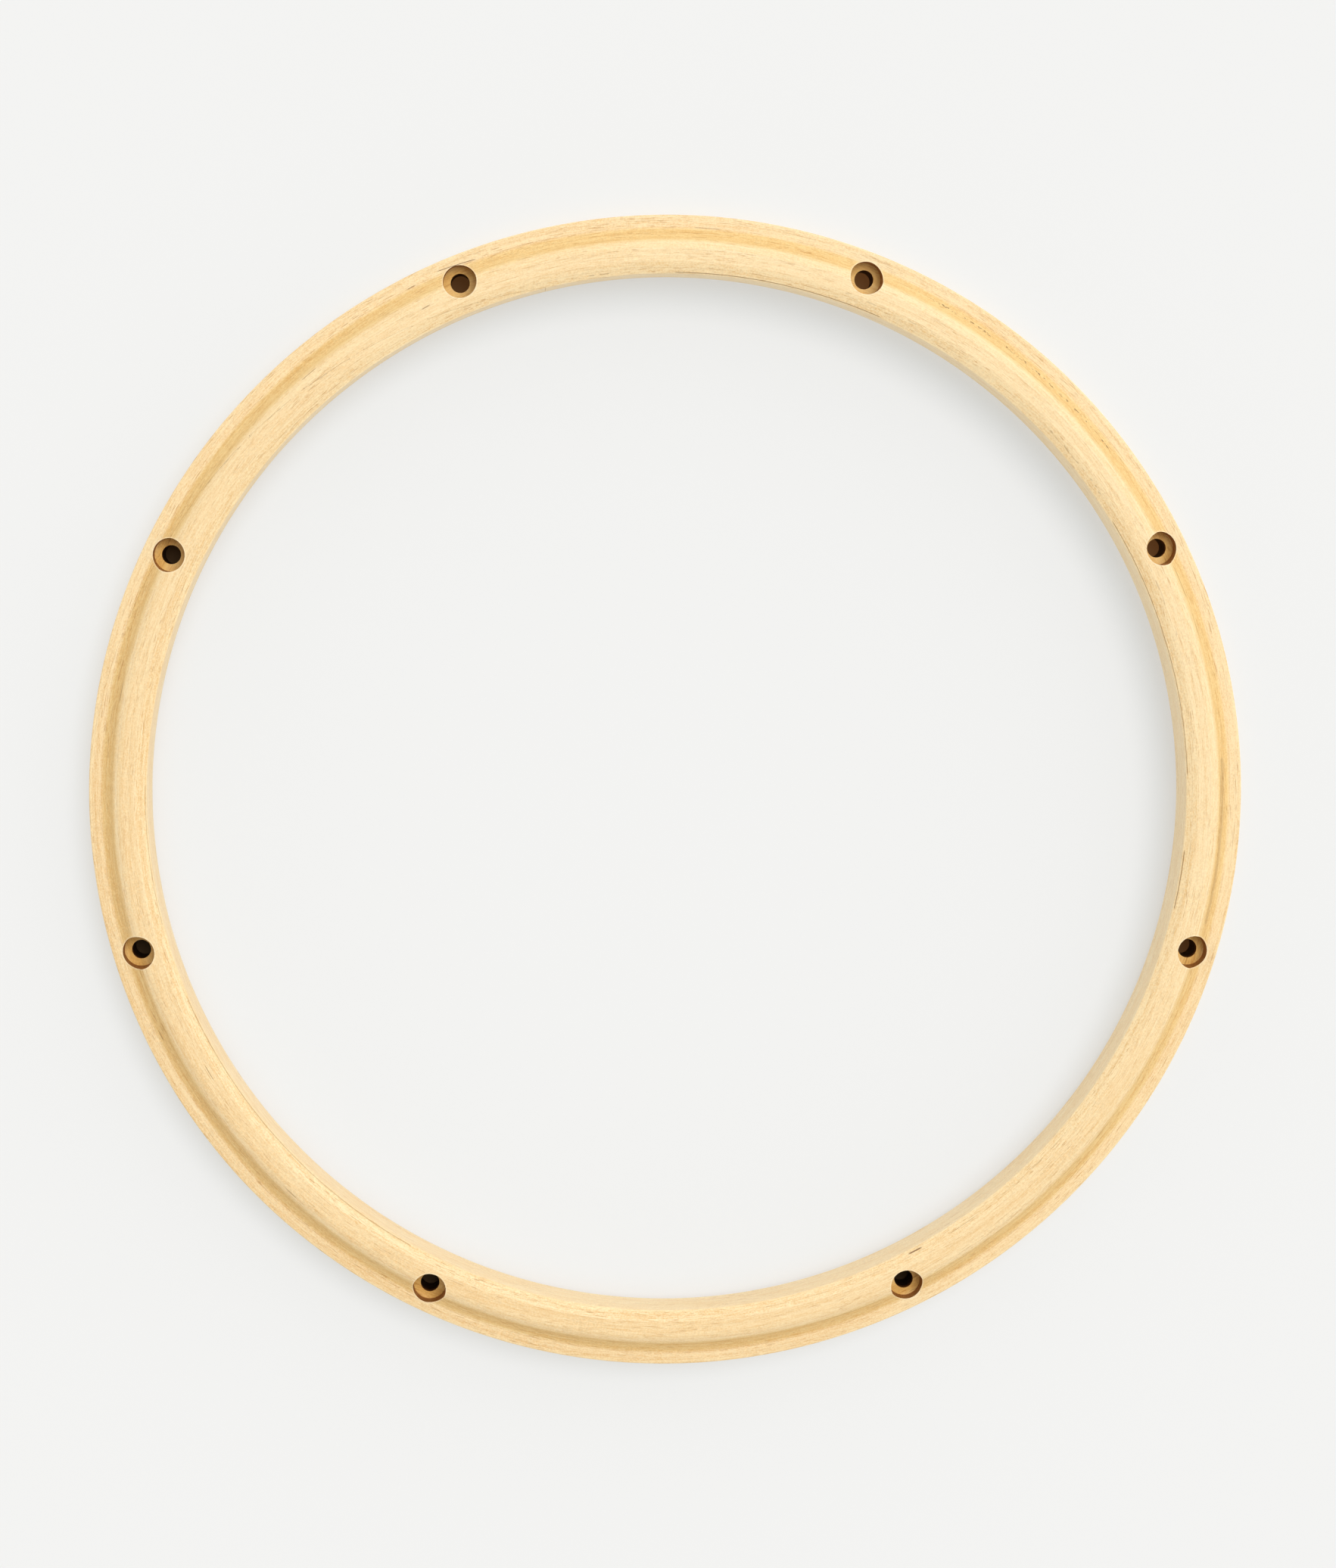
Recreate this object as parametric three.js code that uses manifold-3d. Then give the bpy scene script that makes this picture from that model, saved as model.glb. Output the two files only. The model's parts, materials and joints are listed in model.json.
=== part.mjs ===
// A wooden drum hoop: ten bent maple plies glued into a ring, closed by one long scarf joint,
// then turned to a beaded section, rebated underneath for the drumhead and bored for eight tension rods.
// Millimetres, +Z up. The origin is the ring's centre on its flat underside. +Y is about half way
// between two rod holes, and angles run clockwise from +Y as seen from above.

import * as THREE from "three";
import { mergeVertices } from "three/addons/utils/BufferGeometryUtils.js";
import Module from "manifold-3d";

const wasm = await Module();
wasm.setup();

// Plies and ring
const PLY_COUNT = 10;
const PLY_PITCH = 2.05;
const GLUE_LINE = 0.05;
const INNER_R = 180;
const OUTER_R = INNER_R + PLY_COUNT * PLY_PITCH;
const HEIGHT = 26.5;
const FACETS = 72;

// Section: flat outer ledge, a cove that climbs inwards, a step on a glue line and a rounded bead
const LEDGE_Z = 19.5;
const LEDGE_EDGE_ROUND = 0.7;
const COVE_OUTER_R = 196.4;
const COVE_EASE_R = 194.8;
const COVE_TOP_Z = 23.1;
const BEAD_OUTER_R = 192.3;
const SHOULDER_Z = 23.7;
const SHOULDER_EASE_R = 190.4;
const CREST_OUTER_R = 188.2;
const CREST_INNER_R = 184.4;
const INNER_EASE_R = 183;
const ARRIS_Z = 25;

// Underside: rebate that sits over the drumhead's flesh hoop
const REBATE_R = 185.5;
const REBATE_DEPTH = 6;
const EDGE_CHAMFER = 0.5;

// Tension rod holes, drilled on one circle but not evenly spaced
const ROD_CIRCLE_R = 191.25;
const ROD_ANGLES_DEG = [20.9, 63.4, 106.8, 154.3, 206.2, 254.0, 296.2, 338.1];
const ROD_HOLE_R = 3.3;
const COUNTERBORE_R = 5.8;
const SEAT_Z = 13.2;
const BORE_FACETS = 24;

// Scarf joint: one spiral cut from the outer face to the inner face
const SCARF_START_DEG = 273.0;
const SCARF_DEG_PER_PLY = 7.44;
const SCARF_TIP = 0.25;
const SCARF_GLUE_LINE = 0.06;
const SCARF_END_GAP = 0.3;
const SCARF_STEPS = 4;

// How finely curves are stepped, and how far a cutter runs past the wood
const EDGE_POINTS = 2;
const COVE_POINTS = 4;
const SHOULDER_POINTS = 4;
const INNER_SLOPE_POINTS = 3;
const SHORTEST_SIDE = 1e-3;
const WELD_DISTANCE = 1e-4;
const CLEARANCE = 1;

const MAPLE_ROUGHNESS = 0.55;
const MAPLE_TONES = [0xf0d6a2, 0xe9cb92, 0xf3dcac, 0xe6c68c];

const radians = THREE.MathUtils.degToRad;

function polar(radius, degrees) {
  const angle = radians(degrees);
  return new THREE.Vector2(radius * Math.sin(angle), radius * Math.cos(angle));
}

function toSolid(geometry) {
  geometry.deleteAttribute("normal");
  geometry.deleteAttribute("uv");
  const merged = mergeVertices(geometry, WELD_DISTANCE);
  const mesh = new wasm.Mesh({
    numProp: 3,
    vertProperties: new Float32Array(merged.attributes.position.array),
    triVerts: new Uint32Array(merged.index.array),
  });
  mesh.merge();
  return new wasm.Manifold(mesh);
}

function toMesh(solid, name, color) {
  const cut = solid.getMesh();
  const geometry = new THREE.BufferGeometry();
  geometry.setAttribute("position", new THREE.BufferAttribute(cut.vertProperties, cut.numProp));
  geometry.setIndex(new THREE.BufferAttribute(cut.triVerts, 1));
  geometry.computeVertexNormals();
  const material = new THREE.MeshStandardMaterial({ color, roughness: MAPLE_ROUGHNESS, metalness: 0 });
  const mesh = new THREE.Mesh(geometry, material);
  mesh.name = name;
  return mesh;
}

// The whole hoop's section in (radius, height), drawn up the outer face and inwards over the top.
function hoopSection() {
  const edge = new THREE.Path();
  edge.moveTo(OUTER_R, LEDGE_Z - LEDGE_EDGE_ROUND);
  edge.quadraticCurveTo(OUTER_R, LEDGE_Z, OUTER_R - LEDGE_EDGE_ROUND, LEDGE_Z);

  const cove = new THREE.Path();
  cove.moveTo(COVE_OUTER_R, LEDGE_Z);
  cove.quadraticCurveTo(COVE_EASE_R, LEDGE_Z, BEAD_OUTER_R, COVE_TOP_Z);

  const shoulder = new THREE.Path();
  shoulder.moveTo(BEAD_OUTER_R, SHOULDER_Z);
  shoulder.quadraticCurveTo(SHOULDER_EASE_R, HEIGHT, CREST_OUTER_R, HEIGHT);

  const innerSlope = new THREE.Path();
  innerSlope.moveTo(CREST_INNER_R, HEIGHT);
  innerSlope.quadraticCurveTo(INNER_EASE_R, HEIGHT, INNER_R, ARRIS_Z);

  return [
    new THREE.Vector2(OUTER_R - EDGE_CHAMFER, 0),
    new THREE.Vector2(OUTER_R, EDGE_CHAMFER),
    ...edge.getPoints(EDGE_POINTS),
    ...cove.getPoints(COVE_POINTS),
    ...shoulder.getPoints(SHOULDER_POINTS),
    ...innerSlope.getPoints(INNER_SLOPE_POINTS),
    new THREE.Vector2(INNER_R, REBATE_DEPTH + EDGE_CHAMFER),
    new THREE.Vector2(INNER_R + EDGE_CHAMFER, REBATE_DEPTH),
    new THREE.Vector2(REBATE_R, REBATE_DEPTH),
    new THREE.Vector2(REBATE_R, 0),
  ];
}

// Keeps the part of a closed outline on one side of an upright line at the given radius.
function clip(outline, radius, keepOutside) {
  const inside = (p) => (keepOutside ? p.x >= radius : p.x <= radius);
  const kept = [];
  outline.forEach((point, i) => {
    const next = outline[(i + 1) % outline.length];
    if (inside(point)) {
      kept.push(point);
    }
    if (inside(point) !== inside(next)) {
      kept.push(point.clone().lerp(next, (radius - point.x) / (next.x - point.x)));
    }
  });
  return kept;
}

function withoutRepeats(outline) {
  return outline.filter((point, i) => point.distanceTo(outline[(i + 1) % outline.length]) > SHORTEST_SIDE);
}

// Ply 1 is the outermost.
function plyOuterR(ply) {
  return OUTER_R - (ply - 1) * PLY_PITCH;
}

function plySection(ply) {
  const outer = plyOuterR(ply) - (ply > 1 ? GLUE_LINE / 2 : 0);
  const inner = plyOuterR(ply + 1) + (ply < PLY_COUNT ? GLUE_LINE / 2 : 0);
  return withoutRepeats(clip(clip(hoopSection(), outer, false), inner, true));
}

function plyRing(ply) {
  const section = plySection(ply);
  const ring = new THREE.LatheGeometry([...section, section[0]], FACETS);
  ring.rotateX(Math.PI / 2);
  return toSolid(ring);
}

// The narrow slot where a ply's two ends meet.
// It enters through the outer face, follows the spiral and leaves through the inner face.
function scarfSlot(ply) {
  const outer = plyOuterR(ply);
  const startDeg = SCARF_START_DEG + (ply - 1) * SCARF_DEG_PER_PLY;
  const tipShare = SCARF_TIP / PLY_PITCH;
  const path = [{ radius: outer + CLEARANCE, share: tipShare }];
  for (let step = 0; step <= SCARF_STEPS; step += 1) {
    const share = THREE.MathUtils.lerp(tipShare, 1 - tipShare, step / SCARF_STEPS);
    path.push({ radius: outer - share * PLY_PITCH, share });
  }
  path.push({ radius: outer - PLY_PITCH - CLEARANCE, share: 1 - tipShare });

  const side = (sign) => path.map(({ radius, share }) => {
    const degrees = startDeg + share * SCARF_DEG_PER_PLY;
    const turn = THREE.MathUtils.radToDeg(SCARF_END_GAP / 2 / radius);
    return polar(radius + sign * SCARF_GLUE_LINE / 2, degrees + sign * turn);
  });
  const outline = new THREE.Shape([...side(1), ...side(-1).reverse()]);
  const slot = new THREE.ExtrudeGeometry(outline, { depth: HEIGHT + 2 * CLEARANCE, bevelEnabled: false });
  slot.translate(0, 0, -CLEARANCE);
  return toSolid(slot);
}

function uprightCylinder(radius, bottomZ, topZ, centre) {
  const cylinder = new THREE.CylinderGeometry(radius, radius, topZ - bottomZ, BORE_FACETS);
  cylinder.rotateX(Math.PI / 2);
  cylinder.translate(centre.x, centre.y, (topZ + bottomZ) / 2);
  return toSolid(cylinder);
}

function rodBore(degrees) {
  const centre = polar(ROD_CIRCLE_R, degrees);
  const hole = uprightCylinder(ROD_HOLE_R, -CLEARANCE, SEAT_Z + CLEARANCE, centre);
  const counterbore = uprightCylinder(COUNTERBORE_R, SEAT_Z, HEIGHT + CLEARANCE, centre);
  return hole.add(counterbore);
}

function clockwiseDeg(solid) {
  const box = solid.boundingBox();
  const x = (box.min[0] + box.max[0]) / 2;
  const y = (box.min[1] + box.max[1]) / 2;
  return (THREE.MathUtils.radToDeg(Math.atan2(x, y)) + 360) % 360;
}

function plyName(ply) {
  const place = { 1: "_outer", [PLY_COUNT]: "_inner" }[ply] ?? "";
  return `ply_${String(ply).padStart(2, "0")}${place}`;
}

const rodBores = ROD_ANGLES_DEG.map(rodBore);

function plyMeshes(ply) {
  let solid = plyRing(ply).subtract(scarfSlot(ply));
  rodBores.forEach((bore) => {
    solid = solid.subtract(bore);
  });
  const color = MAPLE_TONES[ply % MAPLE_TONES.length];
  const pieces = solid.decompose().sort((a, b) => clockwiseDeg(a) - clockwiseDeg(b));
  if (pieces.length === 1) {
    return [toMesh(pieces[0], plyName(ply), color)];
  }
  return pieces.map((piece, i) => toMesh(piece, `${plyName(ply)}_arc_${i + 1}`, color));
}

const hoop = new THREE.Group();
for (let ply = 1; ply <= PLY_COUNT; ply += 1) {
  hoop.add(...plyMeshes(ply));
}

export default hoop;
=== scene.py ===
import json
import math
from collections import namedtuple

import bpy
import numpy as np
from mathutils import Matrix, Vector


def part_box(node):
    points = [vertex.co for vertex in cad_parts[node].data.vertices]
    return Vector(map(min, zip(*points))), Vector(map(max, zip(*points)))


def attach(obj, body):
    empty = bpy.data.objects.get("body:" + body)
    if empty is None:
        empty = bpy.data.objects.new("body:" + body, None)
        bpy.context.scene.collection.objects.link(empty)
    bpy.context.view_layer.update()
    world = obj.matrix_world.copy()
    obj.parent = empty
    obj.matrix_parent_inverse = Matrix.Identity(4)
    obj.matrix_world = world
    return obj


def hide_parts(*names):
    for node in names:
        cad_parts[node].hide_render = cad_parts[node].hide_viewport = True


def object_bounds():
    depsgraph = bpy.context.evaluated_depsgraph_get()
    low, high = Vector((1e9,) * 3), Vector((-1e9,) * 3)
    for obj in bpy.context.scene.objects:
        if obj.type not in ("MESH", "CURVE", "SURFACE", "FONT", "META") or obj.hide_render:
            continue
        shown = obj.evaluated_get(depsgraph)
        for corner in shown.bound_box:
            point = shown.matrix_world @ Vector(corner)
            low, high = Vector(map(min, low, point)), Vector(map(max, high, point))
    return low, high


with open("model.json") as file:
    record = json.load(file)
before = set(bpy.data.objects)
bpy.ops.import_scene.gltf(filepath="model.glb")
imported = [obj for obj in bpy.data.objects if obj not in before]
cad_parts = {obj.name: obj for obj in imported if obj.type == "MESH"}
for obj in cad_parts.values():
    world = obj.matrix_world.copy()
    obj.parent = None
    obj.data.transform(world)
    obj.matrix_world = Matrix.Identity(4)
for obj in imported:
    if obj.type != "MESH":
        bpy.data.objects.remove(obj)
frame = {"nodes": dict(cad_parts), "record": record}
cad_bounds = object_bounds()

# Lengths are millimetres until they become mesh or scene values.
# Angles are degrees clockwise from +Y, seen from above.
MM = 0.001
record = frame["record"]


def ply_reach(node):
    """Outer radius of a whole ply of the frame."""
    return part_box(node)[1].x / MM


# Ring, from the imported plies; ply 1 is the outermost
PLY_COUNT = 10
OUTER_R = cad_bounds[1].x / MM
PLY_PITCH = (ply_reach("ply_02") - ply_reach("ply_10_inner")) / (PLY_COUNT - 2)
INNER_R = OUTER_R - PLY_COUNT * PLY_PITCH
GLUE_GAP = 0.01

# Section: outer ledge, a cove that climbs inwards, a step on a glue line and a rounded bead
HEIGHT = 26.5
LEDGE_Z = 19.5
LEDGE_EDGE_ROUND = 0.7
COVE_OUTER_R = 196.4
COVE_EASE_R = 194.8
COVE_TOP_Z = 23.1
BEAD_OUTER_R = 192.3
SHOULDER_Z = 23.7
SHOULDER_EASE_R = 190.4
CREST_OUTER_R = 188.2
CREST_INNER_R = 184.4
INNER_EASE_R = 183.0
ARRIS_Z = 25.0
ARRIS_ROUND = 0.35
REBATE_R = 185.5
REBATE_DEPTH = 6.0
EDGE_CHAMFER = 0.5

# Rod holes
ROD_CIRCLE_R = 191.25
ROD_HOLE_R = 3.3
COUNTERBORE_R = 5.8
BORE_STEPS = 72

# Scarf joint
SCARF_START = 273.0
SCARF_DEG_PER_PLY = 7.44
SCARF_TIP = 0.25
SCARF_GAP = 0.03
SCARF_END_GAP = 0.12
SCARF_STEPS = 12

# How finely shapes are stepped, and how far a cutter runs past the wood
RING_STEPS = 720
EDGE_STEPS = 6
CURVE_STEPS = 16
ARRIS_STEPS = 4
SHORTEST_SIDE = 1e-3
CUT_MARGIN = 1.0

# Edges sharper than this stay crisp
SHARP_DEG = 32.0
# Greatest upward share of an upright face's normal, least of a flat one's
UPRIGHT_RISE = 0.02
FLAT_RISE = 0.9
# How far off a bored face may lie
SEAT_SLACK = 0.02
WALL_SLACK = 0.01


def rod_centres():
    """The middle of each rod hole, in millimetres, from the frame's record."""
    boxes = [o["box_m"] for o in record["physics"]["openings"] if o["name"].startswith("rod_hole")]
    return [((low[0] + high[0]) / 2 / MM, (low[1] + high[1]) / 2 / MM) for low, high in boxes]


def seat_height():
    """Height of the counterbores' flat floors."""
    return next(m["pos_m"][2] for m in record["mounts"] if m["name"] == "rod_seat_1") / MM


ROD_CENTRES = rod_centres()
SEAT_Z = seat_height()


# ---------------------------------------------------------------- section

def quadratic(a, b, c, steps):
    """Points of a quadratic curve from a to c with handle b."""
    t = np.linspace(0, 1, steps + 1)[:, None]
    a, b, c = (np.array(p, float) for p in (a, b, c))
    return (1 - t) ** 2 * a + 2 * t * (1 - t) * b + t ** 2 * c


def hoop_section():
    """The whole hoop's outline in (radius, height), up the outer face and inwards over the top."""
    edge = quadratic((OUTER_R, LEDGE_Z - LEDGE_EDGE_ROUND), (OUTER_R, LEDGE_Z),
                     (OUTER_R - LEDGE_EDGE_ROUND, LEDGE_Z), EDGE_STEPS)
    cove = quadratic((COVE_OUTER_R, LEDGE_Z), (COVE_EASE_R, LEDGE_Z), (BEAD_OUTER_R, COVE_TOP_Z), CURVE_STEPS)
    shoulder = quadratic((BEAD_OUTER_R, SHOULDER_Z), (SHOULDER_EASE_R, HEIGHT), (CREST_OUTER_R, HEIGHT),
                         CURVE_STEPS)
    inner = quadratic((CREST_INNER_R, HEIGHT), (INNER_EASE_R, HEIGHT), (INNER_R, ARRIS_Z), CURVE_STEPS)
    arris_round = quadratic(inner[-2], (INNER_R, ARRIS_Z), (INNER_R, ARRIS_Z - ARRIS_ROUND), ARRIS_STEPS)
    underside = [(INNER_R, REBATE_DEPTH + EDGE_CHAMFER), (INNER_R + EDGE_CHAMFER, REBATE_DEPTH),
                 (REBATE_R, REBATE_DEPTH), (REBATE_R, EDGE_CHAMFER / 2),
                 (REBATE_R + EDGE_CHAMFER / 2, 0)]
    start = [(OUTER_R - EDGE_CHAMFER, 0), (OUTER_R, EDGE_CHAMFER)]
    return [tuple(p) for p in (*start, *edge, *cove, *shoulder, *inner[:-2], *arris_round, *underside)]


def clip(outline, radius, keep_outside):
    """The part of a closed outline on one side of an upright line at the radius."""
    kept = []
    for (r0, z0), (r1, z1) in zip(outline, outline[1:] + outline[:1]):
        in0 = r0 >= radius if keep_outside else r0 <= radius
        in1 = r1 >= radius if keep_outside else r1 <= radius
        if in0:
            kept.append((r0, z0))
        if in0 != in1:
            t = (radius - r0) / (r1 - r0)
            kept.append((radius, z0 + t * (z1 - z0)))
    return kept


def ply_outer_r(ply):
    """Outer radius of a ply; ply 1 is the outermost."""
    return OUTER_R - (ply - 1) * PLY_PITCH


def ply_section(ply):
    outer = ply_outer_r(ply) - (GLUE_GAP / 2 if ply > 1 else 0)
    inner = ply_outer_r(ply + 1) + (GLUE_GAP / 2 if ply < PLY_COUNT else 0)
    outline = clip(clip(hoop_section(), outer, False), inner, True)
    return [p for p, q in zip(outline, outline[1:] + outline[:1]) if math.dist(p, q) > SHORTEST_SIDE]


# ---------------------------------------------------------------- solids

def mesh_object(name, vertices, faces):
    mesh = bpy.data.meshes.new(name)
    mesh.from_pydata((np.array(vertices, float) * MM).tolist(), [], faces)
    mesh.update()
    obj = bpy.data.objects.new(name, mesh)
    bpy.context.scene.collection.objects.link(obj)
    return obj


def ply_ring(ply):
    """The ply as a full ring: its section swept once round."""
    section = np.array(ply_section(ply))
    angle = np.radians(np.arange(RING_STEPS) * 360 / RING_STEPS)
    radius = section[:, 0][None, :]
    x = np.sin(angle)[:, None] * radius
    y = np.cos(angle)[:, None] * radius
    z = np.broadcast_to(section[:, 1][None, :], x.shape)
    vertices = np.stack([x, y, z], axis=2).reshape(-1, 3)
    count = len(section)
    faces = []
    for i in range(RING_STEPS):
        a, b = i * count, (i + 1) % RING_STEPS * count
        for j in range(count):
            k = (j + 1) % count
            faces.append((a + j, a + k, b + k, b + j))
    return mesh_object(f"ring_{ply}", vertices, faces)


def prism(name, outline, low, high):
    """An upright solid over a plan outline that runs anticlockwise."""
    count = len(outline)
    vertices = [(x, y, low) for x, y in outline] + [(x, y, high) for x, y in outline]
    faces = [tuple(reversed(range(count))), tuple(range(count, 2 * count))]
    faces += [(i, (i + 1) % count, (i + 1) % count + count, i + count) for i in range(count)]
    return mesh_object(name, vertices, faces)


def polar(radius, degrees):
    return radius * math.sin(math.radians(degrees)), radius * math.cos(math.radians(degrees))


def bore_cutter():
    """All the rod holes with their counterbores, as stepped solids turned about each rod's axis."""
    steps = [(0, -CUT_MARGIN), (ROD_HOLE_R, -CUT_MARGIN), (ROD_HOLE_R, SEAT_Z), (COUNTERBORE_R, SEAT_Z),
             (COUNTERBORE_R, HEIGHT + CUT_MARGIN), (0, HEIGHT + CUT_MARGIN)]
    vertices, faces = [], []
    for cx, cy in ROD_CENTRES:
        base = len(vertices)
        vertices.append((cx, cy, steps[0][1]))
        for radius, z in steps[1:-1]:
            for i in range(BORE_STEPS):
                turn = 2 * math.pi * i / BORE_STEPS
                vertices.append((cx + radius * math.cos(turn), cy + radius * math.sin(turn), z))
        vertices.append((cx, cy, steps[-1][1]))
        top = len(vertices) - 1
        for i in range(BORE_STEPS):
            j = (i + 1) % BORE_STEPS
            faces.append((base, base + 1 + j, base + 1 + i))
            for level in range(len(steps) - 3):
                a = base + 1 + level * BORE_STEPS
                faces.append((a + i, a + j, a + BORE_STEPS + j, a + BORE_STEPS + i))
            last = base + 1 + (len(steps) - 3) * BORE_STEPS
            faces.append((top, last + i, last + j))
    return mesh_object("bores", vertices, faces)


def scarf_cutter(ply):
    """The slot where the ply's two ends meet: in, along the spiral, and out."""
    outer = ply_outer_r(ply)
    start = SCARF_START + (ply - 1) * SCARF_DEG_PER_PLY
    tip = SCARF_TIP / PLY_PITCH
    path = [(outer + CUT_MARGIN, tip)]
    for share in np.linspace(tip, 1 - tip, SCARF_STEPS + 1):
        path.append((outer - share * PLY_PITCH, share))
    path.append((outer - PLY_PITCH - CUT_MARGIN, 1 - tip))

    def side(sign):
        points = []
        for radius, share in path:
            turn = math.degrees(SCARF_END_GAP / 2 / radius)
            degrees = start + share * SCARF_DEG_PER_PLY + sign * turn
            points.append(polar(radius + sign * SCARF_GAP / 2, degrees))
        return points

    outline = side(1) + side(-1)[::-1]
    area = sum(x0 * y1 - x1 * y0 for (x0, y0), (x1, y1) in zip(outline, outline[1:] + outline[:1]))
    if area < 0:
        outline.reverse()
    return prism(f"scarf_{ply}", outline, -CUT_MARGIN, HEIGHT + CUT_MARGIN)


def cut(obj, *cutters):
    """The object's mesh less each cutter."""
    for cutter in cutters:
        modifier = obj.modifiers.new(cutter.name, "BOOLEAN")
        modifier.operation = "DIFFERENCE"
        modifier.solver = "MANIFOLD"
        modifier.object = cutter
    bpy.context.view_layer.update()
    evaluated = obj.evaluated_get(bpy.context.evaluated_depsgraph_get())
    mesh = bpy.data.meshes.new_from_object(evaluated)
    obj.modifiers.clear()
    obj.data = mesh


def loose_parts(mesh):
    """Face index lists, one for each connected part."""
    parent = list(range(len(mesh.vertices)))

    def root(i):
        while parent[i] != i:
            parent[i] = parent[parent[i]]
            i = parent[i]
        return i

    for edge in mesh.edges:
        a, b = root(edge.vertices[0]), root(edge.vertices[1])
        if a != b:
            parent[a] = b
    groups = {}
    for polygon in mesh.polygons:
        groups.setdefault(root(polygon.vertices[0]), []).append(polygon.index)
    return list(groups.values())


def part_mesh(source, face_ids, name):
    """A new mesh holding only those faces."""
    used, vertices, faces = {}, [], []
    for f in face_ids:
        face = []
        for v in source.polygons[f].vertices:
            if v not in used:
                used[v] = len(vertices)
                vertices.append(source.vertices[v].co[:])
            face.append(used[v])
        faces.append(face)
    mesh = bpy.data.meshes.new(name)
    mesh.from_pydata(vertices, [], faces)
    mesh.update()
    return mesh


def box_centre(mesh):
    co = np.array([v.co for v in mesh.vertices])
    return (co.min(0) + co.max(0)) / 2


def polygon_vectors(mesh, attribute):
    values = np.zeros(len(mesh.polygons) * 3)
    mesh.polygons.foreach_get(attribute, values)
    return values.reshape(-1, 3)


def finish_mesh(mesh):
    """Smooth shading with crisp edges, and materials of their own on the bored walls and seats."""
    mesh.validate()
    for material in (maple, bored_wall, bored_seat):
        mesh.materials.append(material)
    centres = polygon_vectors(mesh, "center") / MM
    rise = polygon_vectors(mesh, "normal")[:, 2]
    height = centres[:, 2]
    reach = np.min([np.hypot(centres[:, 0] - cx, centres[:, 1] - cy) for cx, cy in ROD_CENTRES], axis=0)
    bore_r = np.where(height > SEAT_Z, COUNTERBORE_R, ROD_HOLE_R)
    wall = (np.abs(rise) < UPRIGHT_RISE) & (reach < bore_r + WALL_SLACK)
    seat = (rise > FLAT_RISE) & (np.abs(height - SEAT_Z) < SEAT_SLACK) & (reach < COUNTERBORE_R)
    mesh.polygons.foreach_set("material_index", (wall + 2 * seat).astype(np.int32))
    mesh.polygons.foreach_set("use_smooth", np.ones(len(centres), bool))
    mesh.set_sharp_from_angle(angle=math.radians(SHARP_DEG))
    mesh.update()


def build_ply(ply, bores):
    """Cuts one ply, and gives each separate part to the CAD node in the same place."""
    ring = ply_ring(ply)
    slot = scarf_cutter(ply)
    cut(ring, bores, slot)
    prefix = f"ply_{ply:02d}"
    nodes = [n for n in frame["nodes"] if n.startswith(prefix)]
    parts = loose_parts(ring.data)
    if len(parts) != len(nodes):
        raise RuntimeError(f"{prefix} has {len(parts)} parts for {len(nodes)} nodes")
    places = {n: np.array((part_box(n)[0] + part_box(n)[1]) / 2) for n in nodes}
    for face_ids in parts:
        mesh = part_mesh(ring.data, face_ids, prefix)
        centre = box_centre(mesh)
        node = min(places, key=lambda n: float(np.linalg.norm(places[n] - centre)))
        del places[node]
        mesh.name = node.replace("ply", "veneer")
        finish_mesh(mesh)
        piece = bpy.data.objects.new(mesh.name, mesh)
        bpy.context.scene.collection.objects.link(piece)
        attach(piece, "root")
        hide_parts(node)
    for helper in (ring, slot):
        bpy.data.objects.remove(helper)


# ---------------------------------------------------------------- materials

class Nodes:
    """A short way to write shader node trees."""

    def __init__(self, tree):
        self.tree = tree
        tree.nodes.clear()

    def new(self, kind, inputs=None, **settings):
        node = self.tree.nodes.new(kind)
        for key, value in settings.items():
            setattr(node, key, value)
        for key, value in (inputs or {}).items():
            self.put(node.inputs[key], value)
        return node

    def put(self, socket, value):
        if isinstance(value, bpy.types.NodeSocket):
            self.tree.links.new(value, socket)
        else:
            socket.default_value = value

    def math(self, operation, a, b=0.0, c=0.0, clamp=False):
        node = self.new("ShaderNodeMath", operation=operation, use_clamp=clamp)
        for socket, value in zip(node.inputs, (a, b, c)):
            self.put(socket, value)
        return node.outputs[0]

    def vector(self, x, y, z):
        return self.new("ShaderNodeCombineXYZ", {"X": x, "Y": y, "Z": z}).outputs[0]

    def noise(self, vector, w, detail, roughness):
        node = self.new("ShaderNodeTexNoise", {"Vector": vector, "W": w, "Scale": 1.0, "Detail": detail,
                                               "Roughness": roughness}, noise_dimensions="4D")
        return node.outputs["Fac"]

    def ramp(self, value, low, high, out_low=0.0, out_high=1.0):
        node = self.new("ShaderNodeMapRange", {"Value": value, "From Min": low, "From Max": high,
                                               "To Min": out_low, "To Max": out_high},
                        interpolation_type="SMOOTHSTEP")
        return node.outputs["Result"]

    def ramp_linear(self, value, low, high):
        """The value's share of the way from low to high, kept between 0 and 1."""
        node = self.new("ShaderNodeMapRange", {"Value": value, "From Min": low, "From Max": high})
        return node.outputs["Result"]

    def mix(self, factor, a, b, blend="MIX"):
        node = self.new("ShaderNodeMix", data_type="RGBA", blend_type=blend, clamp_factor=True)
        self.put(node.inputs["Factor"], factor)
        colours = [s for s in node.inputs if s.type == "RGBA"]
        self.put(colours[0], a)
        self.put(colours[1], b)
        return next(s for s in node.outputs if s.type == "RGBA")


def linear(red, green, blue):
    """A display colour from 0 to 255 as a linear one."""
    def channel(value):
        value /= 255
        return value / 12.92 if value <= 0.04045 else ((value + 0.055) / 1.055) ** 2.4
    return channel(red), channel(green), channel(blue), 1.0


# A place on the hoop: position and radius in millimetres, and the direction from the axis as a unit vector
Spot = namedtuple("Spot", "x y z radius east north")


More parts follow.
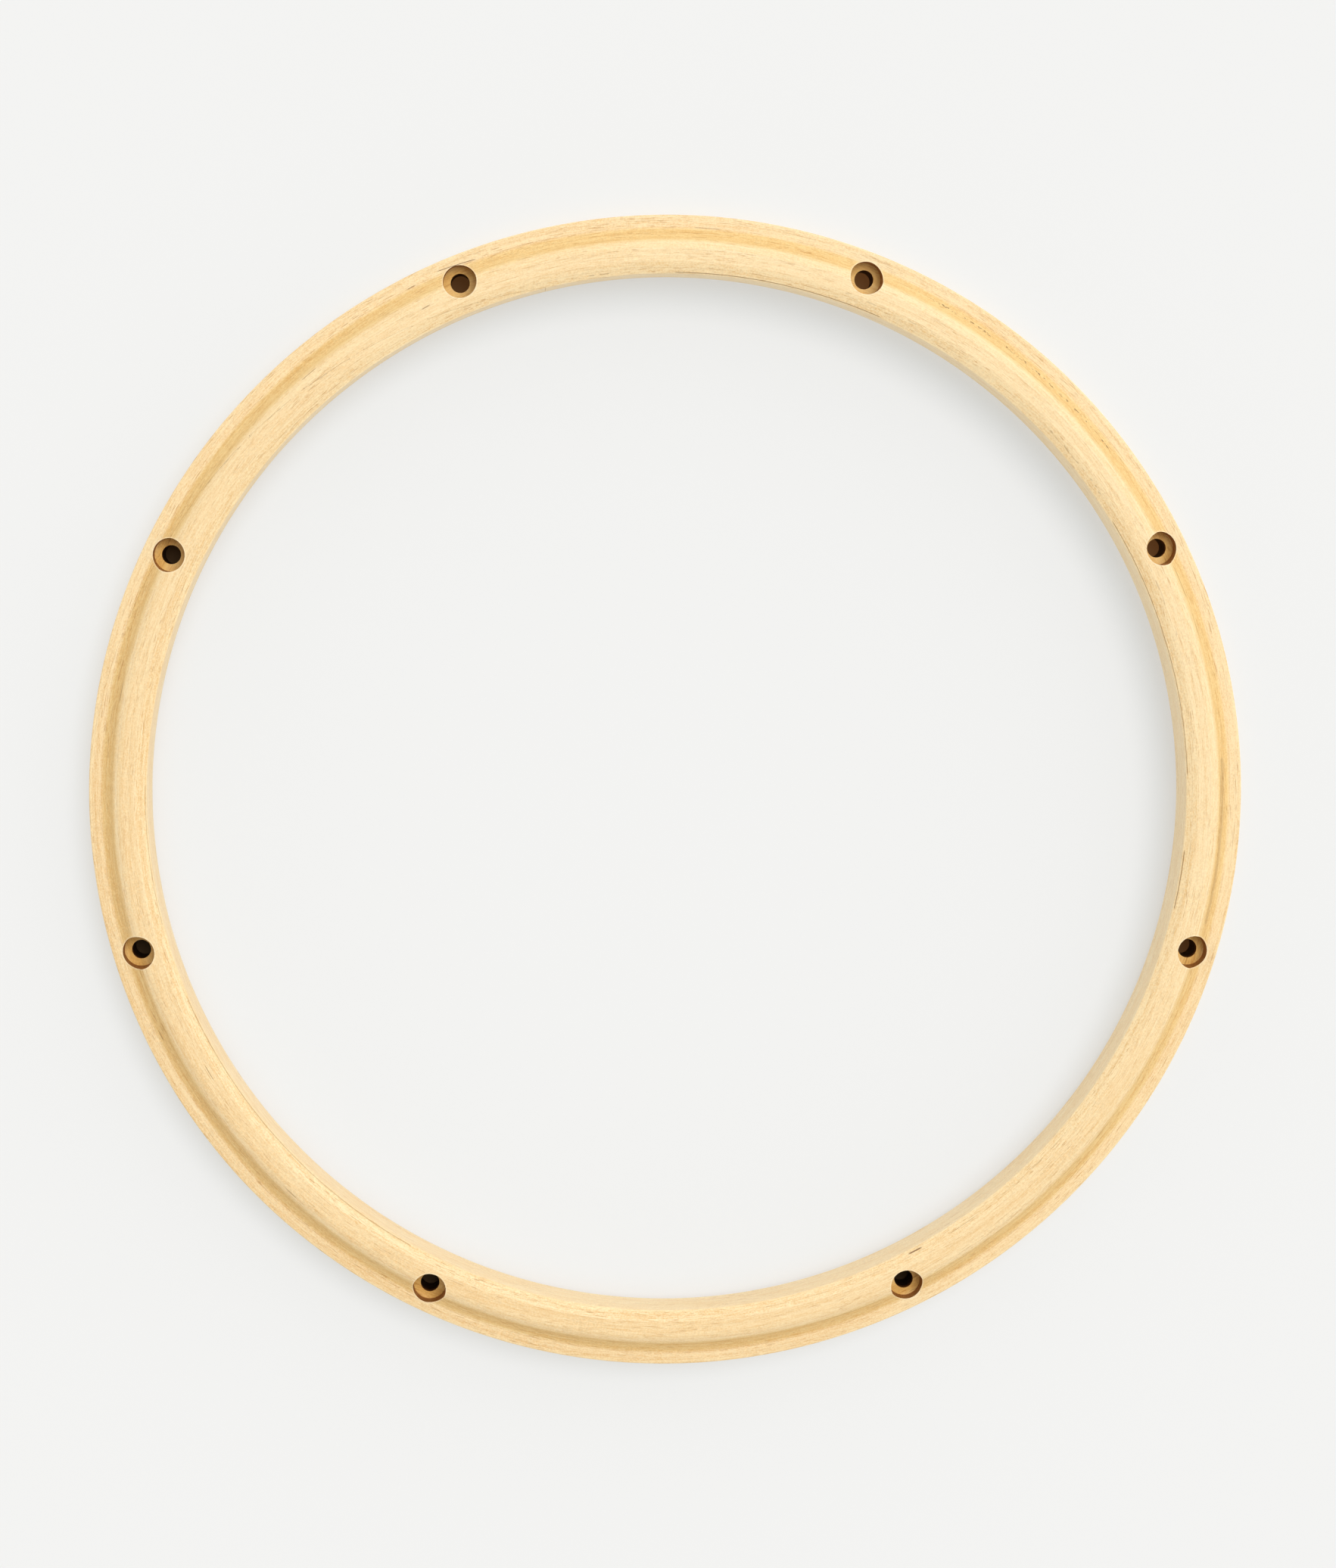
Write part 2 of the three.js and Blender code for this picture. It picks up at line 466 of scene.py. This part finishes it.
def place(n):
    geometry = n.new("ShaderNodeTexCoord").outputs["Object"]
    split = n.new("ShaderNodeSeparateXYZ", {0: geometry})
    x, y, z = (n.math("MULTIPLY", split.outputs[i], 1 / MM) for i in range(3))
    radius = n.math("SQRT", n.math("ADD", n.math("MULTIPLY", x, x), n.math("MULTIPLY", y, y)))
    return Spot(x, y, z, radius, n.math("DIVIDE", x, radius), n.math("DIVIDE", y, radius))


def grain(n, spot, along, across, up, seed, detail=0.0, roughness=0.5):
    """Noise whose features measure `along` round the ring, `across` outwards and `up` in height, in mm."""
    turns = ROD_CIRCLE_R / along
    vector = n.vector(n.math("MULTIPLY", spot.east, turns), n.math("MULTIPLY", spot.north, turns),
                      n.math("MULTIPLY", spot.radius, 1 / across))
    return n.noise(vector, n.math("MULTIPLY_ADD", spot.z, 1 / up, seed), detail, roughness)


def lit_side(n, spot):
    """1 towards the key light's side, -1 opposite."""
    return n.math("ADD", n.math("MULTIPLY", spot.east, LIT_SIDE[0]),
                  n.math("MULTIPLY", spot.north, LIT_SIDE[1]))


# Maple's colours
CREAM = linear(246, 220, 174)
HONEY = linear(228, 186, 126)
PORE_BROWN = linear(190, 140, 84)
GLUE_BROWN = linear(196, 146, 84)
MARK_BROWN = linear(120, 78, 40)
# Painted highlight round the counterbore rims, and painted shade down the rod holes
RIM_HIGHLIGHT = linear(255, 240, 208)
BORE_SHADE_BLACK = (0.004, 0.003, 0.002, 1.0)
# Painted shade makes the cove darker and more golden; painted light makes the inner wall paler and cooler
COVE_SHADE_TINT = (0.9, 0.82, 0.62, 1.0)
WALL_LIGHT_TINT = (1.03, 1.06, 1.11, 1.0)
# Direction of the key light's side, and how much painted light there moves the tone towards cream
LIT_SIDE = polar(1.0, 40.0)
LIT_SIDE_TONE = -0.1
# Each ply's own tone: least, and spread above it
PLY_TONE = 0.24
PLY_TONE_SPREAD = 0.12

# Noise: size round the ring, outwards and in height in millimetres, place in the noise, then finer detail
SWAY = (60, 7, 60, 3.3, 1.0)
BROAD = (60, 1.3, 4, 1.7)
STREAK = (13, 0.42, 1.4, 9.1)
FIBRE = (3.0, 0.27, 0.9, 4.2)
SPECKLE = (0.6, 0.34, 0.6, 14.6)
PORE = (3.6, 0.24, 0.8, 21.3)
PORE_PATCH = (26, 2.2, 6, 31.9, 1.0)
GLUE_PATCH = (9, 1.9, 15, 71.3, 3.0, 0.7)
FLECK = (0.8, 0.9, 1.2, 87.1, 1.0)
FLECK_PATCH = (24, 5, 6, 93.7, 1.0)

# How much broad bands, streaks, fibres and speckles move the tone
LAYER_WEIGHTS = (0.9, 0.85, 1.2, 1.5)
# How far the grain wanders in and out, in millimetres
SWAY_REACH = 1.2
# Strength of the grain on the bead and the ledge, more on the inner slope, and less on the wall
BEAD_CONTRAST = 0.55
LEDGE_CONTRAST = 0.75
SLOPE_CONTRAST = 0.25
WALL_CONTRAST = 0.4
FLECK_LIFT = 0.04

# Ramps: from and to, then what they give at each
PORE_RAMP = (0.62, 0.74)
PORE_PATCH_RAMP = (0.42, 0.62, 0.1, 0.8)
GLUE_LINE_RAMP = (0.04, 0.17, 1.0, 0.0)
GLUE_PATCH_RAMP = (0.45, 0.68, 0.0, 0.4)
FLECK_RAMP = (0.35, 0.7, -1.0, 1.0)
FLECK_PATCH_RAMP = (0.4, 0.6, 0.25, 1.0)
COVE_OUTER_RAMP = (COVE_OUTER_R - 1.2, COVE_OUTER_R + 0.4, 1.0, 0.0)
COVE_INNER_RAMP = (BEAD_OUTER_R - 1.9, BEAD_OUTER_R, 0.0, 1.0)
WALL_REACH = (INNER_R + 0.1, INNER_R + 0.6)
SLOPE_REACH = (CREST_INNER_R - 1.5, CREST_INNER_R)
BEAD_REACH = (BEAD_OUTER_R, BEAD_OUTER_R + 1)
BORE_RAMP = (SEAT_Z - 4.0, SEAT_Z, 0.9, 0.0)
RIM_RAMP = (COUNTERBORE_R + 0.15, COUNTERBORE_R + 0.6, 0.3, 0.0)
DASH_RAMP = (0.52, 0.62)
# Glue shows no nearer the outer and inner faces than this
GLUE_MARGIN = 1.0

# How a natural mark fades across and along, and how much of the grain's wander it follows
MARK_CORE = 0.2
MARK_REACH = 0.65
MARK_SOFT_DEG = 0.5
MARK_SOFT_SHARE = 0.6
MARK_WANDER = 0.25
# Noise that breaks a mark into dashes
DASH_ACROSS = 0.6
DASH_UP = 4
DASH_SEED = 300.0

# Natural marks: (from and to degrees, from and to radius, width, strength, length of dashes or 0)
MARKS = [
    (62.0, 196.0, 192.45, 192.45, 0.5, 0.4, 9.0),
    (86.0, 104.0, 193.4, 193.3, 1.3, 0.28, 0.0),
    (25.0, 52.0, 194.4, 194.3, 0.34, 0.95, 1.2),
    (28.0, 47.0, 194.0, 194.0, 0.25, 0.8, 1.2),
    (2.5, 5.5, 196.3, 196.3, 0.25, 0.6, 0.0),
    (0.5, 24.0, 180.5, 180.5, 0.3, 0.7, 0.0),
    (58.0, 88.0, 180.5, 180.4, 0.3, 0.6, 0.0),
    (96.0, 103.0, 180.5, 180.5, 0.35, 0.7, 0.0),
    (64.0, 73.0, 184.0, 184.6, 0.9, 0.25, 3.0),
    (19.0, 28.0, 183.8, 183.2, 0.9, 0.25, 3.0),
    (45.0, 56.0, 182.4, 182.0, 0.9, 0.35, 3.0),
    (92.0, 175.0, 182.3, 182.1, 0.2, 0.35, 9.0),
    (150.8, 152.8, 181.3, 181.2, 0.5, 0.9, 0.0),
    (210.0, 248.0, 180.45, 180.45, 0.4, 0.38, 0.0),
    (256.0, 272.0, 180.45, 180.45, 0.35, 0.3, 0.0),
    (244.3, 245.8, 194.9, 194.9, 0.35, 0.6, 0.0),
    (223.0, 225.0, 190.3, 190.2, 0.3, 0.5, 0.0),
    (238.3, 240.5, 185.6, 185.5, 0.25, 0.6, 0.0),
    (280.0, 282.5, 192.0, 192.0, 0.3, 0.5, 0.0),
    (318.8, 321.0, 190.8, 190.8, 0.3, 0.5, 0.0),
    (332.8, 334.0, 196.4, 196.5, 0.45, 0.6, 0.0),
    (333.2, 334.4, 187.7, 187.9, 0.45, 0.6, 0.0),
    (336.2, 340.6, 197.6, 196.6, 0.28, 0.85, 0.0),
    (348.0, 356.0, 181.3, 181.1, 0.3, 0.5, 3.0),
    (302.8, 325.2, 192.1, 185.9, 0.2, 0.45, 3.0),
]


def rod_reach(n, spot):
    """Distance from here to the nearest rod hole's axis."""
    here = n.vector(spot.x, spot.y, 0.0)
    reach = HEIGHT
    for centre in ROD_CENTRES:
        distance = n.new("ShaderNodeVectorMath", {0: here, 1: (*centre, 0.0)}, operation="DISTANCE")
        reach = n.math("MINIMUM", distance.outputs["Value"], reach)
    return reach


def marks(n, spot, wander):
    """How dark each natural mark makes the wood here, from 0 to 1."""
    turn = n.math("ARCTAN2", spot.east, spot.north)
    degrees = n.math("MULTIPLY", n.math("FLOORED_MODULO", turn, 2 * math.pi), 180 / math.pi)
    radius = n.math("MULTIPLY_ADD", wander, MARK_WANDER, spot.radius)
    gaps = {dash: grain(n, spot, dash, DASH_ACROSS, DASH_UP, DASH_SEED + dash, 1.0)
            for *_, dash in MARKS if dash}
    total = 0.0
    for start, end, inner, outer, width, strength, dash in MARKS:
        share = n.ramp_linear(degrees, start, end)
        centre = n.math("MULTIPLY_ADD", share, outer - inner, inner)
        off = n.math("ABSOLUTE", n.math("SUBTRACT", radius, centre))
        across = n.ramp(off, MARK_CORE * width, MARK_REACH * width, strength, 0.0)
        middle, half = (start + end) / 2, (end - start) / 2
        along = n.math("ABSOLUTE", n.math("SUBTRACT", degrees, middle))
        soft = min(MARK_SOFT_DEG, half * MARK_SOFT_SHARE)
        mark = n.math("MULTIPLY", across, n.ramp(along, half - soft, half, 1.0, 0.0))
        if dash:
            mark = n.math("MULTIPLY", mark, n.ramp(gaps[dash], *DASH_RAMP))
        total = n.math("MAXIMUM", total, mark)
    return total


def grain_contrast(n, radius):
    """How strong the grain is, by its place on the section."""
    on_top = n.ramp(radius, *BEAD_REACH, BEAD_CONTRAST, LEDGE_CONTRAST)
    contrast = n.math("ADD", on_top, n.ramp(radius, *SLOPE_REACH, SLOPE_CONTRAST, 0.0))
    return n.math("SUBTRACT", contrast, n.ramp(radius, *WALL_REACH, WALL_CONTRAST, 0.0))


def maple_tone(n, spot, depth, layers, contrast):
    """The wood's tone, from 0 for cream to 1 for honey."""
    ply_noise = n.new("ShaderNodeTexWhiteNoise", {"W": n.math("FLOOR", depth)}, noise_dimensions="1D")
    tone = n.math("MULTIPLY_ADD", ply_noise.outputs["Value"], PLY_TONE_SPREAD, PLY_TONE)
    # Painted light: the tone is paler towards the key light's side
    tone = n.math("MULTIPLY_ADD", lit_side(n, spot), LIT_SIDE_TONE, tone)
    for layer, weight in zip(layers, LAYER_WEIGHTS):
        strength = n.math("MULTIPLY", contrast, weight)
        tone = n.math("MULTIPLY_ADD", n.math("SUBTRACT", layer, 0.5), strength, tone)
    return n.math("MULTIPLY", tone, 1.0, clamp=True)


def pore_share(n, spot, swayed, contrast):
    pore = n.ramp(grain(n, swayed, *PORE), *PORE_RAMP)
    patch = n.ramp(grain(n, spot, *PORE_PATCH), *PORE_PATCH_RAMP)
    return n.math("MULTIPLY", n.math("MULTIPLY", pore, patch), contrast)


def glue_share(n, spot, depth):
    """Broken lines of glue where two plies meet, but none on the outer and inner faces."""
    off = n.math("ABSOLUTE", n.math("SUBTRACT", n.math("FRACT", n.math("ADD", depth, 0.5)), 0.5))
    line = n.ramp(n.math("MULTIPLY", off, PLY_PITCH), *GLUE_LINE_RAMP)
    past_inner = n.math("GREATER_THAN", spot.radius, INNER_R + GLUE_MARGIN)
    before_outer = n.math("LESS_THAN", spot.radius, OUTER_R - GLUE_MARGIN)
    line = n.math("MULTIPLY", line, n.math("MULTIPLY", past_inner, before_outer))
    return n.math("MULTIPLY", line, n.ramp(grain(n, spot, *GLUE_PATCH), *GLUE_PATCH_RAMP))


def tinted(n, share, colour, tint):
    """The colour, with as much of the tint as the share says."""
    return n.mix(share, colour, n.mix(1.0, colour, tint, "MULTIPLY"))


def bore_shading(n, spot, colour):
    """Painted shade down inside the rod holes, and a painted highlight: a paler rim round each counterbore.
    """
    reach = rod_reach(n, spot)
    painted_bore_shade = n.math("MULTIPLY", n.math("LESS_THAN", reach, ROD_HOLE_R + 0.1), n.ramp(spot.z, *BORE_RAMP))
    colour = n.mix(painted_bore_shade, colour, BORE_SHADE_BLACK)
    rim = n.math("MULTIPLY", n.math("GREATER_THAN", reach, COUNTERBORE_R + 0.02), n.ramp(reach, *RIM_RAMP))
    return n.mix(rim, colour, RIM_HIGHLIGHT)


def wood_colour(n, spot, tint):
    """Maple: tone by ply, streaks, fibre, pores, glue lines, ray fleck and natural marks, with painted shade
    in the cove and down the rod holes, and painted light on the inner wall, the counterbore rims and the key
    light's side.
    """
    wander = n.math("MULTIPLY_ADD", grain(n, spot, *SWAY), SWAY_REACH, -SWAY_REACH / 2)
    swayed = spot._replace(radius=n.math("ADD", spot.radius, wander))
    depth = n.math("DIVIDE", n.math("SUBTRACT", OUTER_R, spot.radius), PLY_PITCH)

    layers = [grain(n, swayed, *layer) for layer in (BROAD, STREAK, FIBRE, SPECKLE)]
    contrast = grain_contrast(n, spot.radius)
    colour = n.mix(maple_tone(n, spot, depth, layers, contrast), CREAM, HONEY)
    pores = pore_share(n, spot, swayed, contrast)
    colour = n.mix(pores, colour, PORE_BROWN)
    glue = glue_share(n, spot, depth)
    colour = n.mix(glue, colour, GLUE_BROWN)

    # Painted shade: the cove at the bead's foot is darker and more golden
    cove_shade = n.math("MULTIPLY", n.ramp(spot.radius, *COVE_OUTER_RAMP), n.ramp(spot.radius, *COVE_INNER_RAMP))
    colour = tinted(n, cove_shade, colour, COVE_SHADE_TINT)
    # Painted light: the inner wall is made paler and cooler
    colour = tinted(n, n.ramp(spot.radius, *WALL_REACH, 1.0, 0.0), colour, WALL_LIGHT_TINT)
    colour = bore_shading(n, spot, colour)

    flecks = n.math("MULTIPLY", n.ramp(grain(n, spot, *FLECK), *FLECK_RAMP),
                    n.ramp(grain(n, spot, *FLECK_PATCH), *FLECK_PATCH_RAMP))
    lift = n.math("MULTIPLY_ADD", flecks, FLECK_LIFT, 1.0)
    colour = n.mix(1.0, colour, n.vector(lift, lift, lift), "MULTIPLY")
    colour = n.mix(marks(n, spot, wander), colour, MARK_BROWN)
    colour = n.mix(1.0, colour, tint, "MULTIPLY")
    return colour, layers[1], layers[2], pores, glue


# Light that the wood passes on is greyed, so the pale floor keeps its plain colour
BOUNCE_CALMING = 0.85
BOUNCE_GREY = (0.58, 0.6, 0.56, 1.0)
BOUNCE_REACH = (4 * MM, 14 * MM)

# How deep each part of the grain is in the surface, and the thin clear finish over it
FIBRE_RELIEF = 0.5
STREAK_RELIEF = 0.6
PORE_RELIEF = 0.8
GLUE_RELIEF = 0.6
RELIEF_STRENGTH = 0.6
ROUGHNESS_SPREAD = 0.07
PORE_ROUGHNESS = 0.15
STREAK_RAMP = (0.3, 0.7)
SPECULAR = 0.35
COAT = 0.1
COAT_ROUGHNESS = 0.35


def wood_material(name, tint, roughness, bump_mm):
    material = bpy.data.materials.new(name)
    material.use_nodes = True
    n = Nodes(material.node_tree)
    colour, streak, fibre, pores, glue = wood_colour(n, place(n), tint)

    relief = n.math("MULTIPLY_ADD", fibre, FIBRE_RELIEF, n.math("MULTIPLY", streak, STREAK_RELIEF))
    relief = n.math("SUBTRACT", relief, n.math("MULTIPLY", pores, PORE_RELIEF))
    relief = n.math("SUBTRACT", relief, n.math("MULTIPLY", glue, GLUE_RELIEF))
    bump = n.new("ShaderNodeBump", {"Height": relief, "Distance": bump_mm * MM, "Strength": RELIEF_STRENGTH})
    rough = n.ramp(streak, *STREAK_RAMP, roughness - ROUGHNESS_SPREAD, roughness + ROUGHNESS_SPREAD)
    rough = n.math("ADD", rough, n.math("MULTIPLY", pores, PORE_ROUGHNESS))

    path = n.new("ShaderNodeLightPath")
    far = n.ramp(path.outputs["Ray Length"], *BOUNCE_REACH, 0.0, BOUNCE_CALMING)
    colour = n.mix(n.math("MULTIPLY", path.outputs["Is Diffuse Ray"], far), colour, BOUNCE_GREY)
    shader = n.new("ShaderNodeBsdfPrincipled", {
        "Base Color": colour, "Roughness": rough, "Normal": bump.outputs[0],
        "Specular IOR Level": SPECULAR, "Coat Weight": COAT, "Coat Roughness": COAT_ROUGHNESS})
    output = n.new("ShaderNodeOutputMaterial")
    n.tree.links.new(shader.outputs[0], output.inputs["Surface"])
    return material


# The floor in the open, and under the hoop's wood, where only the bores show it: there it is painted shade
# with a painted brown glow
FLOOR_HALF = 6000.0
FLOOR_WHITE = 0.4
FLOOR_TINT = (1.015 * FLOOR_WHITE, 0.99 * FLOOR_WHITE, 1.02 * FLOOR_WHITE, 1.0)
FLOOR_GLOW = 0.46
FLOOR_GLOW_COLOUR = (0.98, 1.0, 0.97, 1.0)
COVERED_SHADE = (0.1, 0.06, 0.03, 1.0)
COVERED_GLOW_COLOUR = linear(84, 52, 25)
COVERED_GLOW_REACH = (-0.33, 1.0)


def floor_material():
    """A pale floor with a light of its own, so shadows stay soft; under the hoop's wood it is painted shade,
    with a painted brown glow towards the key light's side.
    """
    material = bpy.data.materials.new("pale_floor")
    material.use_nodes = True
    n = Nodes(material.node_tree)
    spot = place(n)
    # Painted shade under the hoop's wood, with a painted brown glow towards the key light's side
    covered = n.math("MULTIPLY", n.math("GREATER_THAN", spot.radius, REBATE_R),
                     n.math("LESS_THAN", spot.radius, OUTER_R))
    under = n.ramp_linear(lit_side(n, spot), *COVERED_GLOW_REACH)
    glow = n.math("MULTIPLY_ADD", covered, n.math("SUBTRACT", under, FLOOR_GLOW), FLOOR_GLOW)
    shader = n.new("ShaderNodeBsdfPrincipled", {
        "Base Color": n.mix(covered, FLOOR_TINT, COVERED_SHADE), "Roughness": 1.0, "Specular IOR Level": 0.0,
        "Emission Color": n.mix(covered, FLOOR_GLOW_COLOUR, COVERED_GLOW_COLOUR), "Emission Strength": glow})
    output = n.new("ShaderNodeOutputMaterial")
    n.tree.links.new(shader.outputs[0], output.inputs["Surface"])
    return material


# ---------------------------------------------------------------- stage

def add_floor():
    corners = [(-FLOOR_HALF, -FLOOR_HALF, 0), (FLOOR_HALF, -FLOOR_HALF, 0),
               (FLOOR_HALF, FLOOR_HALF, 0), (-FLOOR_HALF, FLOOR_HALF, 0)]
    floor = mesh_object("floor", corners, [(0, 1, 2, 3)])
    floor.data.materials.append(floor_material())


def aim(obj, position, target, roll=0.0):
    """Puts a lamp or camera there, looking at the target, with +Y upwards in its view but for the roll."""
    back = (Vector(position) - Vector(target)).normalized()
    right = Vector((0, 1, 0)).cross(back).normalized()
    up = back.cross(right)
    axes = Matrix((right, up, back)).transposed().to_4x4()
    obj.matrix_world = Matrix.Translation(position) @ axes @ Matrix.Rotation(math.radians(roll), 4, "Z")


# A broad soft key light, a sky that is brighter low down, and a wide window on the key light's side
SUN_AZIMUTH = 40.0
SUN_ELEVATION = 70.0
SUN_WIDTH = 34.0
SUN_STRENGTH = 1.5
SUN_COLOUR = (1.0, 0.985, 0.96)
SKY_STRENGTH = 0.42
SKY_COLOUR = (0.985, 1.0, 0.97, 1.0)
HORIZON_EXTRA = 0.9
HORIZON_FALLOFF = 2.0
WINDOW_ELEVATION = 30.0
WINDOW_EXTRA = 0.5
WINDOW_FALLOFF = 3.0

# The camera: lens and sensor in millimetres, places in metres
CAMERA_LENS = 80.03
CAMERA_SENSOR = 36.0
CAMERA_PLACE = (-0.05068, 0.09851, 1.22666)
CAMERA_TARGET = (-0.00036, 0.0044, LEDGE_Z * MM)
CAMERA_ROLL = -0.15
CAMERA_CLIP_END = 50.0


def towards(azimuth, elevation):
    """Unit vector to a place in the sky."""
    east, north = polar(math.cos(math.radians(elevation)), azimuth)
    return east, north, math.sin(math.radians(elevation))


def add_lights():
    world = bpy.data.worlds.new("studio")
    bpy.context.scene.world = world
    world.use_nodes = True
    n = Nodes(world.node_tree)
    direction = n.new("ShaderNodeTexCoord").outputs["Generated"]
    height = n.new("ShaderNodeSeparateXYZ", {0: direction}).outputs["Z"]
    low_share = n.math("POWER", n.math("SUBTRACT", 1.0, n.math("MAXIMUM", height, 0.0)),
                       HORIZON_FALLOFF)
    strength = n.math("MULTIPLY_ADD", low_share, HORIZON_EXTRA, SKY_STRENGTH)
    window = n.new("ShaderNodeVectorMath", {0: direction, 1: towards(SUN_AZIMUTH, WINDOW_ELEVATION)},
                   operation="DOT_PRODUCT").outputs["Value"]
    window = n.math("POWER", n.math("MAXIMUM", window, 0.0), WINDOW_FALLOFF)
    strength = n.math("MULTIPLY_ADD", window, WINDOW_EXTRA, strength)
    background = n.new("ShaderNodeBackground", {"Color": SKY_COLOUR, "Strength": strength})
    output = n.new("ShaderNodeOutputWorld")
    n.tree.links.new(background.outputs[0], output.inputs["Surface"])
    sun = bpy.data.lights.new("key", "SUN")
    sun.energy = SUN_STRENGTH
    sun.angle = math.radians(SUN_WIDTH)
    sun.color = SUN_COLOUR
    lamp = bpy.data.objects.new("key", sun)
    bpy.context.scene.collection.objects.link(lamp)
    aim(lamp, towards(SUN_AZIMUTH, SUN_ELEVATION), (0, 0, 0))


def add_camera():
    camera = bpy.data.cameras.new("camera")
    camera.sensor_width = CAMERA_SENSOR
    camera.lens = CAMERA_LENS
    camera.clip_end = CAMERA_CLIP_END
    obj = bpy.data.objects.new("camera", camera)
    bpy.context.scene.collection.objects.link(obj)
    aim(obj, CAMERA_PLACE, CAMERA_TARGET, CAMERA_ROLL)
    bpy.context.scene.camera = obj


# Tint, roughness and depth of relief in millimetres
maple = wood_material("maple", (1.0, 1.0, 1.0, 1.0), 0.5, 0.06)
bored_wall = wood_material("bored_wall", (0.5, 0.26, 0.1, 1.0), 0.55, 0.05)
# The seat's tint is its orange end grain, with painted light lifting it against the counterbore's shade
bored_seat = wood_material("bored_seat", (1.12, 1.0, 0.62, 1.0), 0.6, 0.05)

bores = bore_cutter()
for ply in range(1, PLY_COUNT + 1):
    build_ply(ply, bores)
bpy.data.objects.remove(bores)

add_floor()
add_lights()
add_camera()
bpy.context.scene.view_settings.view_transform = "Standard"
